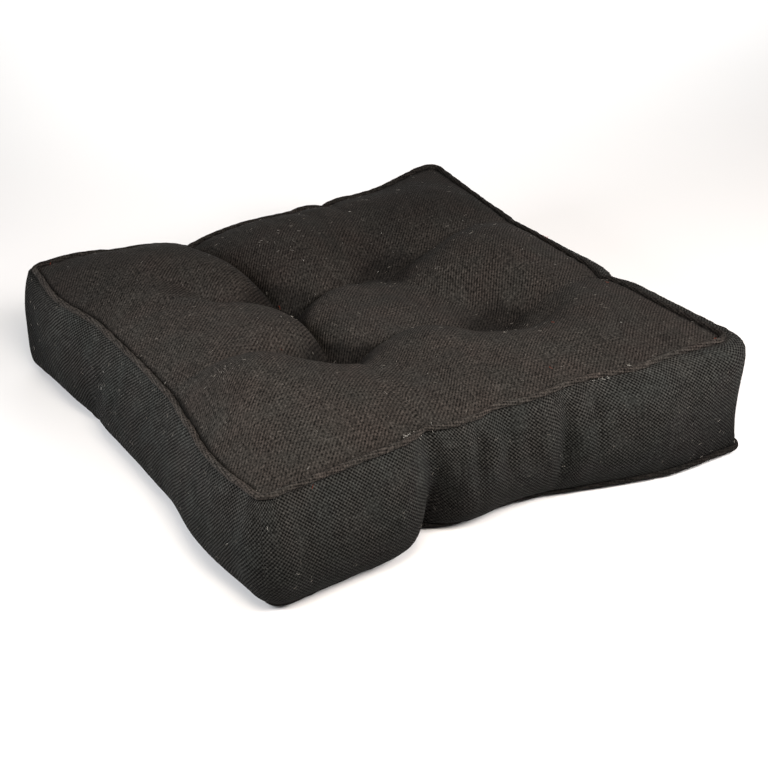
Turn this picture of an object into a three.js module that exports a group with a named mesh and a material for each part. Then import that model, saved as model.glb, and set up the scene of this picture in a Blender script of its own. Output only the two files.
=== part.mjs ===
// A square boxed seat cushion: a top and an underside panel, a boxing strip round the side,
// piping in both seams, and four tufts that draw the two panels together.
// Millimetres, +Z up. The cushion lies on its underside, with the origin on the surface under its middle.
// +X runs along its front side, and +Y from its front side to its back.

import * as THREE from 'three';
import { mergeVertices } from 'three/addons/utils/BufferGeometryUtils.js';

// Driving dimensions
const half = 200;                // from the middle to a seam, so the panels are 400 square
const cornerRadius = 14;         // of the panels' sewn corners, in plan
const pipingRadius = 2.9;
const pipingGap = 0.5;           // between the piping and the seam edge that it is sewn in
const restHeight = 0;            // the surface under the cushion
const columns = 36;              // steps across a panel, a multiple of 3
const levels = 8;                // steps up the boxing strip
const pipingSides = 8;

// The tufts stand on the grid lines a third of the way out from the middle of the panels.
const third = 1 / 3;

// Corners of the two seams, as the cushion lies. In plan each is the middle of its sewn round.
const corners = {
  top: {
    frontLeft: { x: -203, y: -197, z: 90 },
    frontRight: { x: 196, y: -191, z: 94 },
    backLeft: { x: -193, y: 194, z: 87 },
    backRight: { x: 192, y: 203, z: 91 },
  },
  bottom: {
    frontLeft: { x: -194, y: -198, z: 6.5 },
    frontRight: { x: 197, y: -204, z: 6.5 },
    backLeft: { x: -199, y: 197, z: 11 },
    backRight: { x: 193, y: 198, z: 7 },
  },
};

// Where the two valleys across each side meet its seams, along the side from its middle.
const valleyEnds = {
  front: [-58, 74],
  right: [-68, 66],
  back: [-70, 60],
  left: [-46, 66],
};

// How far each seam is drawn in at the middle of its side.
const drawnIn = {
  top: { front: 10, right: 11, back: 14, left: 9 },
  bottom: { front: 14, right: 10, back: 12, left: 8 },
};

// Where a seam leaves that even curve: the place along its side, how far it goes in and down,
// how far the place reaches to either side, and whether it comes to a point.
const seamPlaces = [
  { seam: 'top', side: 'front', at: -62, inward: 9, down: 1, reach: 30, pointed: true },
  { seam: 'top', side: 'front', at: -4, inward: 4, down: 0, reach: 20, pointed: false },
  { seam: 'top', side: 'front', at: 66, inward: 3, down: 0, reach: 36, pointed: false },
  { seam: 'top', side: 'front', at: 118, inward: -4, down: 0, reach: 34, pointed: false },
  { seam: 'top', side: 'left', at: -146, inward: -8, down: 0, reach: 54, pointed: false },
  { seam: 'top', side: 'left', at: -98, inward: -5, down: 0, reach: 52, pointed: false },
  { seam: 'top', side: 'left', at: 138, inward: -8, down: 0, reach: 60, pointed: false },
  { seam: 'top', side: 'back', at: -160, inward: -6, down: 0, reach: 38, pointed: false },
  { seam: 'top', side: 'back', at: -120, inward: 2, down: 3, reach: 70, pointed: false },
  { seam: 'top', side: 'back', at: -70, inward: 14, down: 4, reach: 50, pointed: true },
  { seam: 'top', side: 'back', at: 5, inward: 4, down: 5, reach: 80, pointed: false },
  { seam: 'top', side: 'back', at: 60, inward: 6, down: 4, reach: 26, pointed: true },
  { seam: 'top', side: 'back', at: 118, inward: 7, down: 7, reach: 72, pointed: false },
  { seam: 'top', side: 'right', at: -64, inward: 4, down: 2, reach: 28, pointed: true },
  { seam: 'top', side: 'right', at: 60, inward: 3, down: 5, reach: 135, pointed: false },
  { seam: 'top', side: 'right', at: 62, inward: 4, down: 2, reach: 28, pointed: true },
  { seam: 'bottom', side: 'front', at: -64, inward: 22, down: 0, reach: 40, pointed: true },
  { seam: 'bottom', side: 'front', at: 5, inward: 16, down: 0, reach: 80, pointed: false },
  { seam: 'bottom', side: 'front', at: 135, inward: -9, down: 0, reach: 70, pointed: false },
];

// How far the boxing strip swells past the two seams, and how far up it is fullest, from 0 to 1:
// at the corners and at the middle of each side.
const swell = {
  frontLeft: { out: 13, fullest: 0.36 },
  frontRight: { out: 12, fullest: 0.72 },
  backLeft: { out: 14, fullest: 0.84 },
  backRight: { out: 9, fullest: 0.5 },
  front: { out: 18, fullest: 0.36 },
  right: { out: 13, fullest: 0.45 },
  back: { out: 13, fullest: 0.45 },
  left: { out: 21, fullest: 0.32 },
};
const swellRoundness = 0.7;      // under 1 the strip tucks in round at its seams

// Creases in the boxing strip, and a place where it swells further, with a depth under 0:
// the place along the side at the top seam, half way down and at the bottom seam, the depth, the reach
// to either side, and the stretch of the strip's height that it runs over, from 0 to 1.
const creases = [
  { side: 'front', top: -62, middle: -50, bottom: -64, depth: 16, reach: 26, from: -0.6, to: 1.1, pointed: true },
  { side: 'front', top: -24, middle: -14, bottom: -22, depth: 4, reach: 15, from: 0.35, to: 1.2, pointed: true },
  { side: 'front', top: 22, middle: 24, bottom: 24, depth: 3, reach: 13, from: 0.6, to: 1.3, pointed: true },
  { side: 'front', top: 74, middle: 46, bottom: 28, depth: 4.5, reach: 17, from: 0.15, to: 1.05, pointed: true },
  { side: 'left', top: 46, middle: 68, bottom: 88, depth: 7, reach: 36, from: -0.4, to: 1, pointed: true },
  { side: 'left', top: -125, middle: -130, bottom: -135, depth: -7, reach: 75, from: -0.7, to: 0.9, pointed: false },
  { side: 'back', top: -70, middle: -68, bottom: -66, depth: 9, reach: 34, from: 0, to: 1.2, pointed: true },
  { side: 'back', top: 60, middle: 58, bottom: 60, depth: 4, reach: 24, from: 0.2, to: 1.2, pointed: true },
  { side: 'right', top: -68, middle: -72, bottom: -70, depth: 5, reach: 28, from: 0.2, to: 1.2, pointed: true },
  { side: 'right', top: 66, middle: 68, bottom: 66, depth: 4, reach: 26, from: 0.2, to: 1.2, pointed: true },
];

// The tufts: where each draws the top panel to, and how high it lifts the underside.
const tufts = [
  { column: -1, row: -1, x: -58, y: -52, z: 72, under: 30 },
  { column: 1, row: -1, x: 84, y: -57, z: 73, under: 30 },
  { column: -1, row: 1, x: -52, y: 40, z: 72, under: 30 },
  { column: 1, row: 1, x: 55, y: 60, z: 73, under: 30 },
];
const valleyEndReach = 0.6;      // over which a valley's end shifts its seam's grid lines
const tuftPull = 0.62;           // reach of a tuft's sideways pull, as a share of half the panel
const tuftReach = 0.24;          // reach of its pit

// Heights of the nine mounds over the seam, by their rows.
const mounds = [
  { row: 'front', left: 34, middle: 20, right: 16 },
  { row: 'middle', left: 27, middle: 13, right: 24 },
  { row: 'back', left: 35, middle: 28, right: 23 },
];
const panelDip = 15;             // how far the tufts draw the middle of the top panel down

// The valleys between the mounds lie on four lines through the tufts. A tuft takes all of the mounds' height,
// and each row gives the share that its line takes at its first end, midway between the tufts, and at its last.
const valleys = [
  { runs: 'back', at: -third, first: 0.12, between: 0.62, last: 0.8 },
  { runs: 'back', at: third, first: 0.1, between: 0.6, last: 0.35 },
  { runs: 'right', at: -third, first: 0.55, between: 0.6, last: 0.4 },
  { runs: 'right', at: third, first: 0.25, between: 0.6, last: 0.3 },
];
const valleyReach = 0.36;        // to either side of its line
const valleyRoundness = 2.8;     // of the mounds' flanks
const valleySharpness = 0.75;    // under 1 the flanks come down steep into the valley
const edgeReach = 0.5;           // over which a panel rises from its seam
const edgeRoundness = 2.3;

// The underside rests flat under each mound, and its valleys lift off the surface.
const underEdgeReach = 0.16;
const underValleyLift = 16;
const underFlat = 0.3;           // share of a valley's depth that still rests

const sides = {
  front: { from: 'frontLeft', to: 'frontRight', out: new THREE.Vector3(0, -1, 0) },
  back: { from: 'backLeft', to: 'backRight', out: new THREE.Vector3(0, 1, 0) },
  left: { from: 'frontLeft', to: 'backLeft', out: new THREE.Vector3(-1, 0, 0) },
  right: { from: 'frontRight', to: 'backRight', out: new THREE.Vector3(1, 0, 0) },
};
const up = new THREE.Vector3(0, 0, 1);
const cosCorner = Math.SQRT1_2;

// 1 at the middle and 0 at the reach. A pointed one comes to a cusp, as cloth does in a crease.
function bump(distance, reach, pointed) {
  const share = Math.min(Math.abs(distance) / reach, 1);
  return pointed ? (1 - share) ** 2 : (1 - share * share) ** 2;
}

// 0 at the edge, rising round to 1 at the reach.
function rounded(distance, reach, roundness) {
  return 1 - (1 - Math.min(distance / reach, 1)) ** roundness;
}

function cornerPoint(seam, name) {
  const corner = corners[seam][name];
  return new THREE.Vector3(corner.x, corner.y, corner.z);
}

// The place on a side of a grid line, shifted so that the valleys' lines meet the seam at their ends.
function placeOnSide(sideName, line) {
  const [first, last] = valleyEnds[sideName];
  const firstShift = (first / half + third) * bump(line + third, valleyEndReach, false);
  const lastShift = (last / half - third) * bump(line - third, valleyEndReach, false);
  return line + firstShift + lastShift;
}

// A point of a seam and the way out from it. line runs from -1 to 1 over the side.
function seamStation(seam, sideName, line) {
  const side = sides[sideName];
  const along = placeOnSide(sideName, line);
  const point = cornerPoint(seam, side.from).lerp(cornerPoint(seam, side.to), (along + 1) / 2);
  const toCorner = (1 - Math.abs(along)) * half;
  const past = Math.max(cosCorner * cornerRadius - toCorner, 0);
  const outward = Math.sqrt(cornerRadius ** 2 - past ** 2) - cosCorner * cornerRadius;
  const tangent = side.out.x === 0 ? new THREE.Vector3(1, 0, 0) : new THREE.Vector3(0, 1, 0);
  const turn = past / cornerRadius;
  const out = side.out.clone().multiplyScalar(Math.sqrt(1 - turn ** 2));
  out.addScaledVector(tangent, Math.sign(along) * turn);
  let inward = drawnIn[seam][sideName] * (1 - along ** 2) - outward;
  let down = 0;
  for (const place of seamPlaces) {
    if (place.seam === seam && place.side === sideName) {
      const share = bump(along * half - place.at, place.reach, place.pointed);
      inward += place.inward * share;
      down += place.down * share;
    }
  }
  point.addScaledVector(side.out, -inward).addScaledVector(up, -down);
  return { point, out };
}

// A flat patch stretched between the four sides of a seam.
function patchPoint(seam, u, v) {
  const s = (u + 1) / 2;
  const t = (v + 1) / 2;
  const point = new THREE.Vector3();
  point.addScaledVector(seamStation(seam, 'front', u).point, 1 - t);
  point.addScaledVector(seamStation(seam, 'back', u).point, t);
  point.addScaledVector(seamStation(seam, 'left', v).point, 1 - s);
  point.addScaledVector(seamStation(seam, 'right', v).point, s);
  point.addScaledVector(cornerPoint(seam, 'frontLeft'), -(1 - s) * (1 - t));
  point.addScaledVector(cornerPoint(seam, 'frontRight'), -s * (1 - t));
  point.addScaledVector(cornerPoint(seam, 'backLeft'), -(1 - s) * t);
  point.addScaledVector(cornerPoint(seam, 'backRight'), -s * t);
  return point;
}

// The share of the mounds' height that the valleys take, 1 at a tuft.
function valleyShare(u, v) {
  let left = 1;
  for (const valley of valleys) {
    const [across, along] = valley.runs === 'back' ? [u, v] : [v, u];
    const past = Math.abs(along) - third;
    const end = along < 0 ? valley.first : valley.last;
    const floor = past < 0
      ? 1 - (1 - valley.between) * rounded(-past, third, valleyRoundness)
      : 1 - (1 - end) * rounded(past, 1 - third, valleyRoundness);
    const flank = 1 - rounded(Math.abs(across - valley.at), valleyReach, valleyRoundness) ** valleySharpness;
    left *= 1 - floor * flank;
  }
  return 1 - left;
}

// The height of the mounds, run smoothly through the rows of the table.
function moundHeight(u, v) {
  const blend = (first, middle, last, place) => {
    const share = Math.min(Math.abs(place) / (2 * third), 1);
    const eased = share * share * (3 - 2 * share);
    return middle + ((place < 0 ? first : last) - middle) * eased;
  };
  const rows = mounds.map((row) => blend(row.left, row.middle, row.right, u));
  return blend(rows[0], rows[1], rows[2], v);
}

function tuftDistance(tuft, u, v) {
  return Math.hypot(u - tuft.column * third, v - tuft.row * third);
}

function topPoint(u, v) {
  const point = patchPoint('top', u, v);
  const rise = rounded(1 - Math.abs(u), edgeReach, edgeRoundness) * rounded(1 - Math.abs(v), edgeReach, edgeRoundness);
  point.z += moundHeight(u, v) * rise * (1 - valleyShare(u, v)) - panelDip * ((1 - u * u) * (1 - v * v)) ** 2;
  for (const tuft of tufts) {
    const rest = patchPoint('top', tuft.column * third, tuft.row * third);
    const dip = panelDip * (1 - third * third) ** 4;
    const pull = bump(tuftDistance(tuft, u, v), tuftPull, false);
    const pit = bump(tuftDistance(tuft, u, v), tuftReach, true);
    point.x += (tuft.x - rest.x) * pull;
    point.y += (tuft.y - rest.y) * pull;
    point.z += (tuft.z - rest.z + dip) * pit;
  }
  return point;
}

function undersidePoint(u, v) {
  const point = patchPoint('bottom', u, v);
  const rise = rounded(1 - Math.abs(u), underEdgeReach, edgeRoundness)
    * rounded(1 - Math.abs(v), underEdgeReach, edgeRoundness);
  const lift = underValleyLift * Math.max(valleyShare(u, v) - underFlat, 0) / (1 - underFlat);
  point.z = point.z * (1 - rise) + lift * rise;
  for (const tuft of tufts) {
    const rest = patchPoint('bottom', tuft.column * third, tuft.row * third);
    const pull = bump(tuftDistance(tuft, u, v), tuftPull, false);
    const pit = bump(tuftDistance(tuft, u, v), tuftReach, true);
    point.x += (tuft.x - rest.x) * pull;
    point.y += (tuft.y - rest.y) * pull;
    point.z += (tuft.under - underValleyLift) * pit;
  }
  point.z = Math.max(point.z, restHeight);
  return point;
}

// The swell of the boxing strip at a place along a side, run from its corners through its middle.
function swellAt(sideName, along) {
  const side = sides[sideName];
  const run = (name) => {
    const [first, last] = [swell[side.from][name], swell[side.to][name]];
    const ends = THREE.MathUtils.lerp(first, last, (along + 1) / 2);
    return ends + (swell[sideName][name] - (first + last) / 2) * (1 - along ** 2);
  };
  return { out: run('out'), fullest: run('fullest') };
}

// The place of a crease at a height, on a curve through its three places.
function creaseAt(crease, height) {
  const bow = crease.middle - (crease.top + crease.bottom) / 2;
  return THREE.MathUtils.lerp(crease.bottom, crease.top, height) + 4 * bow * height * (1 - height);
}

function boxingPoint(sideName, line, height) {
  const along = placeOnSide(sideName, line);
  const top = seamStation('top', sideName, line);
  const bottom = seamStation('bottom', sideName, line);
  const point = bottom.point.clone().lerp(top.point, height);
  const swelling = swellAt(sideName, along);
  const skewed = height ** (Math.log(0.5) / Math.log(swelling.fullest));
  const fullness = Math.max(Math.sin(Math.PI * skewed), 0) ** swellRoundness;
  let outward = swelling.out;
  for (const crease of creases) {
    if (crease.side === sideName) {
      const middle = (crease.from + crease.to) / 2;
      const run = bump(height - middle, (crease.to - crease.from) / 2, false);
      const across = along * half - creaseAt(crease, height);
      outward -= crease.depth * run * bump(across, crease.reach, crease.pointed);
    }
  }
  return point.addScaledVector(top.out, outward * fullness);
}

// A place on the cushion from a place on a block that runs from -1 to 1 each way.
function cushionPoint(u, v, w) {
  const edge = 1 - 1e-6;
  if (w > edge) return topPoint(u, v);
  if (w < -edge) return undersidePoint(u, v);
  const height = (1 + Math.sin(w * Math.PI / 2)) / 2;
  if (v < -edge) return boxingPoint('front', u, height);
  if (v > edge) return boxingPoint('back', u, height);
  return boxingPoint(u < 0 ? 'left' : 'right', v, height);
}

// Gathers the even steps of the block towards the seams and the valleys.
function gathered(place) {
  const gather = 0.07;
  const share = Math.abs(place);
  const [start, length] = share < third ? [0, third] : [third, 1 - third];
  const step = (share - start) / length;
  const turns = share < third ? Math.sin(Math.PI * step) / 2 : Math.sin(2 * Math.PI * step);
  const eased = share < third ? step + gather * turns : step - gather * turns;
  return Math.sign(place) * (start + length * eased);
}

function bodyGeometry() {
  const block = new THREE.BoxGeometry(2, 2, 2, columns, columns, levels);
  block.deleteAttribute('uv');
  block.deleteAttribute('normal');
  const place = block.attributes.position;
  for (let i = 0; i < place.count; i += 1) {
    const point = cushionPoint(gathered(place.getX(i)), gathered(place.getY(i)), place.getZ(i));
    place.setXYZ(i, point.x, point.y, point.z);
  }
  const body = mergeVertices(block, 0.001);
  body.computeVertexNormals();
  return body;
}

// The stations of a seam, all the way round from the front left corner.
function seamRound(seam) {
  const round = [];
  const walk = [['front', 1], ['right', 1], ['back', -1], ['left', -1]];
  for (const [sideName, way] of walk) {
    for (let step = 0; step < columns; step += 1) {
      const line = gathered((2 * step) / columns - 1) * way;
      round.push(seamStation(seam, sideName, line));
    }
  }
  return round;
}

// The piping is a ring along its seam. lean is how steeply it stands off the seam, up or down.
function pipingGeometry(seam, lean) {
  const round = seamRound(seam);
  const ring = new THREE.TorusGeometry(1, 0.1, pipingSides, round.length);
  const turn = ring.attributes.uv;
  const place = ring.attributes.position;
  for (let i = 0; i < place.count; i += 1) {
    const station = round[Math.round(turn.getX(i) * round.length) % round.length];
    const angle = turn.getY(i) * 2 * Math.PI;
    const point = station.point.clone();
    point.addScaledVector(station.out, (pipingRadius + pipingGap) * Math.cos(lean));
    point.addScaledVector(up, (pipingRadius + pipingGap) * Math.sin(lean));
    point.addScaledVector(station.out, pipingRadius * Math.cos(angle));
    point.addScaledVector(up, pipingRadius * Math.sin(angle));
    place.setXYZ(i, point.x, point.y, point.z);
  }
  ring.deleteAttribute('uv');
  ring.deleteAttribute('normal');
  const piping = mergeVertices(ring, 0.001);
  piping.computeVertexNormals();
  return piping;
}

const wovenCloth = new THREE.MeshStandardMaterial({ color: 0x2b2826, roughness: 0.95, metalness: 0 });
const pipingCloth = new THREE.MeshStandardMaterial({ color: 0x2f2c2a, roughness: 0.95, metalness: 0 });

function sewn(name, geometry, material) {
  const mesh = new THREE.Mesh(geometry, material);
  mesh.name = name;
  return mesh;
}

const cushion = new THREE.Group();
cushion.add(sewn('cushion_body', bodyGeometry(), wovenCloth));
cushion.add(sewn('piping_top', pipingGeometry('top', 0.8), pipingCloth));
cushion.add(sewn('piping_bottom', pipingGeometry('bottom', -1.1), pipingCloth));

// The origin is under the middle of the whole cushion.
const extent = new THREE.Box3().setFromObject(cushion, true);
cushion.position.set(-(extent.min.x + extent.max.x) / 2, -(extent.min.y + extent.max.y) / 2, 0);
cushion.updateMatrixWorld(true);

export default cushion;
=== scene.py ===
import math
import random
from functools import lru_cache

import bmesh
import bpy
from mathutils import Matrix, Vector, noise


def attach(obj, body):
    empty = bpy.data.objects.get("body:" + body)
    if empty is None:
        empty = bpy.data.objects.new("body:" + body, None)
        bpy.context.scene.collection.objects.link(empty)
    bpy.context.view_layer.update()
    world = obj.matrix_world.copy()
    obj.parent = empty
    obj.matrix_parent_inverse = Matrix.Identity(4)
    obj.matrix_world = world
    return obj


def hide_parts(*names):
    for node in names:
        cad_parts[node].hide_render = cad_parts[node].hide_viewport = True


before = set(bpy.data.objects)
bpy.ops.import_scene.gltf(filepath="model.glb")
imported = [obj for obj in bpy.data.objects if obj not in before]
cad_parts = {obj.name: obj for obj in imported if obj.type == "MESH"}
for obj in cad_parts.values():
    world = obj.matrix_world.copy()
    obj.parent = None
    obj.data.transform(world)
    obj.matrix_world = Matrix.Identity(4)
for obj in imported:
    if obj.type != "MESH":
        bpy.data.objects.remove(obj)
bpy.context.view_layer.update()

mm = 0.001
up = Vector((0, 0, 1))

# The photograph's view, fitted to the corners of the two seams.
view = {
    "azimuth": -31.9,           # degrees round from straight in front
    "elevation": 29.53,
    "roll": 0.17,
    "distance": 1.505,
    "aside": 0.0122,            # of the camera, across its view and up it
    "above": 0.0174,
    "focal": 1863,              # pixels, in the photograph's frame of 768
    "frame": 768,
}

# The cushion's shape, in millimetres. It lies on its underside.
cushion = {
    "half": 200,                # from the middle to a seam
    "cornerRadius": 11,
    "columns": 168,             # steps across a panel, a multiple of 3
    "levels": 34,               # steps up the boxing strip
    "gather": 0.07,             # of those steps towards the valleys and the seams
    "stripHeight": 85,
    "middle": (5.52, 1.6),      # brings the middle of its outline over the origin
    "valleyEndReach": 0.6,      # these reaches are shares of half a panel
    "tuftPull": 0.62,
    "underTuftReach": 0.24,
    "panelDip": 15,             # how far the tufts draw the middle of the top down
    "valleyRoundness": 2.8,
    "edgeReach": 0.5,
    "edgeRoundness": 2.3,
    "underEdgeReach": 0.16,
    "underValleyLift": 16,      # the height of the valleys underneath
    "underFlat": 0.3,           # the share of a valley that still rests on the floor
    "underTuft": 30,            # the height of the tufts underneath
}
third = 1 / 3
blockEdge = 1 - 1e-4            # a point past this lies on a face of the block that the cover starts as

corners = {
    "top": {
        "frontLeft": (-203, -197, 90),
        "frontRight": (196, -191, 94),
        "backLeft": (-196, 197, 90.7),
        "backRight": (192, 203, 91),
    },
    "bottom": {
        "frontLeft": (-196, -201, 6),
        "frontRight": (206, -207, 6.5),
        "backLeft": (-199, 198, 7),
        "backRight": (193, 198, 7),
    },
}

# Where the two valleys across each side meet its seams, along the side from its middle.
valleyEnds = {
    "front": (-58, 74),
    "right": (-68, 66),
    "back": (-70, 68),
    "left": (-46, 66),
}

# How far each seam is drawn in at the middle of its side.
drawnIn = {
    "top": {"front": 10, "right": 11, "back": 14, "left": 9},
    "bottom": {"front": 14, "right": 10, "back": 12, "left": 8},
}

# Where a seam leaves that even curve, and how far it is drawn inward and down there.
seamPlaces = {
    ("top", "front"): [
        {"at": -62, "inward": 9, "down": 1, "reach": 30, "pointed": True},
        {"at": -4, "inward": 4, "down": 0, "reach": 20, "pointed": False},
        {"at": 66, "inward": 3, "down": 0, "reach": 36, "pointed": False},
        {"at": 118, "inward": -4, "down": 0, "reach": 34, "pointed": False},
    ],
    ("top", "left"): [
        {"at": -146, "inward": -8, "down": 0, "reach": 54, "pointed": False},
        {"at": -98, "inward": -5, "down": 0, "reach": 52, "pointed": False},
        {"at": 138, "inward": -8, "down": 0, "reach": 60, "pointed": False},
    ],
    ("top", "back"): [
        {"at": -160, "inward": -6, "down": 0, "reach": 38, "pointed": False},
        {"at": -120, "inward": 1, "down": 1, "reach": 70, "pointed": False},
        {"at": -70, "inward": 14, "down": 4, "reach": 50, "pointed": True},
        {"at": -45, "inward": 2, "down": 2, "reach": 40, "pointed": False},
        {"at": 5, "inward": 3, "down": 2, "reach": 80, "pointed": False},
        {"at": 40, "inward": 0, "down": 2, "reach": 30, "pointed": False},
        {"at": 70, "inward": 5, "down": 3, "reach": 26, "pointed": True},
        {"at": 118, "inward": 5, "down": 4, "reach": 72, "pointed": False},
    ],
    ("top", "right"): [
        {"at": -64, "inward": 4, "down": 2, "reach": 28, "pointed": True},
        {"at": 60, "inward": 1, "down": 1, "reach": 135, "pointed": False},
        {"at": 62, "inward": 2, "down": 0, "reach": 28, "pointed": True},
    ],
    ("bottom", "front"): [
        {"at": -66, "inward": 22, "down": 0, "reach": 50, "pointed": True},
        {"at": 5, "inward": 13, "down": 0, "reach": 80, "pointed": False},
        {"at": 135, "inward": -9, "down": 0, "reach": 70, "pointed": False},
    ],
}

# How far the boxing strip swells past the seams, how far up it is fullest, from 0 to 1, and how
# pointed its bulge is.
swell = {
    "frontLeft": (15, 0.36, 0.65),
    "frontRight": (17, 0.9, 0.25),
    "backLeft": (10.5, 0.55, 0.18),
    "backRight": (10, 0.6, 0.5),
    "front": (16.5, 0.37, 0.68),
    "right": (14.5, 0.88, 0.28),
    "back": (13, 0.45, 0.7),
    "left": (17.5, 0.34, 0.65),
}

# Creases in the boxing strip of each side: their places at the top seam, half way down and at the
# bottom seam, how far they reach on either side, and the heights that they run between, where the
# strip's own height goes from 0 to 1. A depth below 0 is a ridge.
creases = {
    "front": [
        {"run": (-62, -57, -68), "depth": 15.5, "reach": 30, "heights": (-0.6, 1.1), "pointed": True},
        {"run": (-24, -28, -30), "depth": 8, "reach": 12, "heights": (0, 1.5), "pointed": True},
        {"run": (-11, -13, -16), "depth": -4, "reach": 13, "heights": (0.25, 1.2), "pointed": False},
        {"run": (20, 14, 8), "depth": 4, "reach": 11, "heights": (0.3, 1.2), "pointed": True},
        {"run": (53, 46, 38), "depth": 7.5, "reach": 14, "heights": (-0.3, 1.4), "pointed": True},
        {"run": (66, 59, 52), "depth": -3.5, "reach": 14, "heights": (-0.1, 1.2), "pointed": False},
        {"run": (35, 29, 24), "depth": -3, "reach": 12, "heights": (0.3, 1.15), "pointed": False},
    ],
    "left": [
        {"run": (46, 68, 88), "depth": 7, "reach": 36, "heights": (-0.4, 1), "pointed": True},
        {"run": (-125, -130, -135), "depth": -7, "reach": 75, "heights": (-0.7, 0.9), "pointed": False},
    ],
    "back": [
        {"run": (-70, -68, -66), "depth": 9, "reach": 34, "heights": (0, 1.2), "pointed": True},
        {"run": (60, 58, 60), "depth": 4, "reach": 24, "heights": (0.2, 1.2), "pointed": True},
    ],
    "right": [
        {"run": (-68, -72, -70), "depth": 5, "reach": 28, "heights": (0.2, 1.2), "pointed": True},
        {"run": (66, 68, 66), "depth": 4, "reach": 26, "heights": (0.2, 1.2), "pointed": True},
    ],
}

# The tufts: which valleys cross there, where the tuft sits, and how wide its pit is.
tufts = [
    {"column": -1, "row": -1, "at": (-58, -52, 70), "reach": 0.22, "pointed": True},
    {"column": 1, "row": -1, "at": (84, -57, 76), "reach": 0.34, "pointed": False},
    {"column": -1, "row": 1, "at": (-55, 36, 70), "reach": 0.22, "pointed": True},
    {"column": 1, "row": 1, "at": (55, 60, 76), "reach": 0.3, "pointed": False},
]

# Heights of the nine mounds over the seam, from left to right, from the front row to the back.
mounds = [(34, 20, 16), (27, 13, 24), (32, 28, 23)]

# Three stretches of each valley, from one seam past its two tufts to the other: the share of the
# mounds' height that it takes, how far it reaches on either side, and how soft its floor is.
valleys = [
    {
        "runs": "back",
        "at": -third,
        "shares": (0.12, 0.95, 0.97),
        "reach": ((0.4, 0.4), (0.2, 0.28), (0.18, 0.32)),
        "softness": (1.5, 0.6, 0.6),
    },
    {
        "runs": "back",
        "at": third,
        "shares": (0.05, 0.66, 0.1),
        "reach": ((0.42, 0.42), (0.6, 0.42), (0.42, 0.42)),
        "softness": (2, 1.5, 2),
    },
    {
        "runs": "right",
        "at": -third,
        "shares": (0.5, 0.75, 0.35),
        "reach": ((0.26, 0.34), (0.26, 0.34), (0.34, 0.4)),
        "softness": (0.9, 0.65, 1.4),
    },
    {
        "runs": "right",
        "at": third,
        "shares": (0.25, 0.8, 0.4),
        "reach": ((0.32, 0.34), (0.24, 0.32), (0.26, 0.4)),
        "softness": (1.3, 0.7, 1),
    },
]

# Where a mound is fuller or flatter than that: its place on the panel, its reach and its rise.
fuller = [
    {"at": (-160, -92), "reach": (52, 62), "rise": 10},
    {"at": (-90, -78), "reach": (50, 42), "rise": -10},
    {"at": (-92, 84), "reach": (46, 60), "rise": 4.5},
    {"at": (-92, -12), "reach": (40, 50), "rise": 4},
    {"at": (-14, -92), "reach": (50, 46), "rise": 7},
    {"at": (66, -92), "reach": (54, 46), "rise": -5},
    {"at": (-30, -6), "reach": (34, 44), "rise": 3},
    {"at": (14, -2), "reach": (40, 50), "rise": 3},
    {"at": (58, -6), "reach": (44, 60), "rise": -6},
    {"at": (140, 20), "reach": (70, 60), "rise": 7},
    {"at": (150, 120), "reach": (60, 60), "rise": 4},
    {"at": (0, 130), "reach": (90, 60), "rise": 4},
]

sides = {
    "front": ("frontLeft", "frontRight", Vector((0, -1, 0))),
    "back": ("backLeft", "backRight", Vector((0, 1, 0))),
    "left": ("frontLeft", "backLeft", Vector((-1, 0, 0))),
    "right": ("frontRight", "backRight", Vector((1, 0, 0))),
}


def mixed(first, last, share):
    return first + (last - first) * share


def eased(place, start, end):
    share = min(max((place - start) / (end - start), 0), 1)
    return share * share * (3 - 2 * share)


# 1 at the middle and 0 at the reach. A pointed one comes to a cusp, as cloth does in a crease.
def bump(distance, reach, pointed=False):
    share = min(abs(distance) / reach, 1)
    return (1 - share) ** 2 if pointed else (1 - share * share) ** 2


# 0 at a seam or a valley's floor and 1 at the reach. A higher roundness rises sooner.
def rounded(distance, reach, roundness):
    return 1 - (1 - min(distance / reach, 1)) ** roundness


def shiftToMiddle(point):
    return (point + Vector((*cushion["middle"], 0))) * mm


def finished(bm, name):
    mesh = bpy.data.meshes.new(name)
    bm.to_mesh(mesh)
    bm.free()
    piece = bpy.data.objects.new(name, mesh)
    bpy.context.collection.objects.link(piece)
    return piece


# Part 1: the seams

def placeOnSide(sideName, line):
    first, last = valleyEnds[sideName]
    firstShift = (first / cushion["half"] + third) * bump(line + third, cushion["valleyEndReach"])
    lastShift = (last / cushion["half"] - third) * bump(line - third, cushion["valleyEndReach"])
    return line + firstShift + lastShift


# A point of a seam and the way out from it. The seam turns each corner on a small round.
@lru_cache(maxsize=None)
def seamStation(seam, sideName, line):
    half, radius = cushion["half"], cushion["cornerRadius"]
    fromName, toName, sideOut = sides[sideName]
    along = placeOnSide(sideName, line)
    point = Vector(corners[seam][fromName]).lerp(Vector(corners[seam][toName]), (along + 1) / 2)
    diagonal = math.sqrt(0.5) * radius
    past = max(diagonal - (1 - abs(along)) * half, 0)
    outward = math.sqrt(radius ** 2 - past ** 2) - diagonal
    tangent = Vector((1, 0, 0)) if sideOut.x == 0 else Vector((0, 1, 0))
    turn = past / radius
    out = sideOut * math.sqrt(1 - turn ** 2) + tangent * math.copysign(turn, along)
    inward = drawnIn[seam][sideName] * (1 - along ** 2) - outward
    down = 0
    for place in seamPlaces.get((seam, sideName), []):
        share = bump(along * half - place["at"], place["reach"], place["pointed"])
        inward += place["inward"] * share
        down += place["down"] * share
    return point - sideOut * inward - up * down, out


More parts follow.
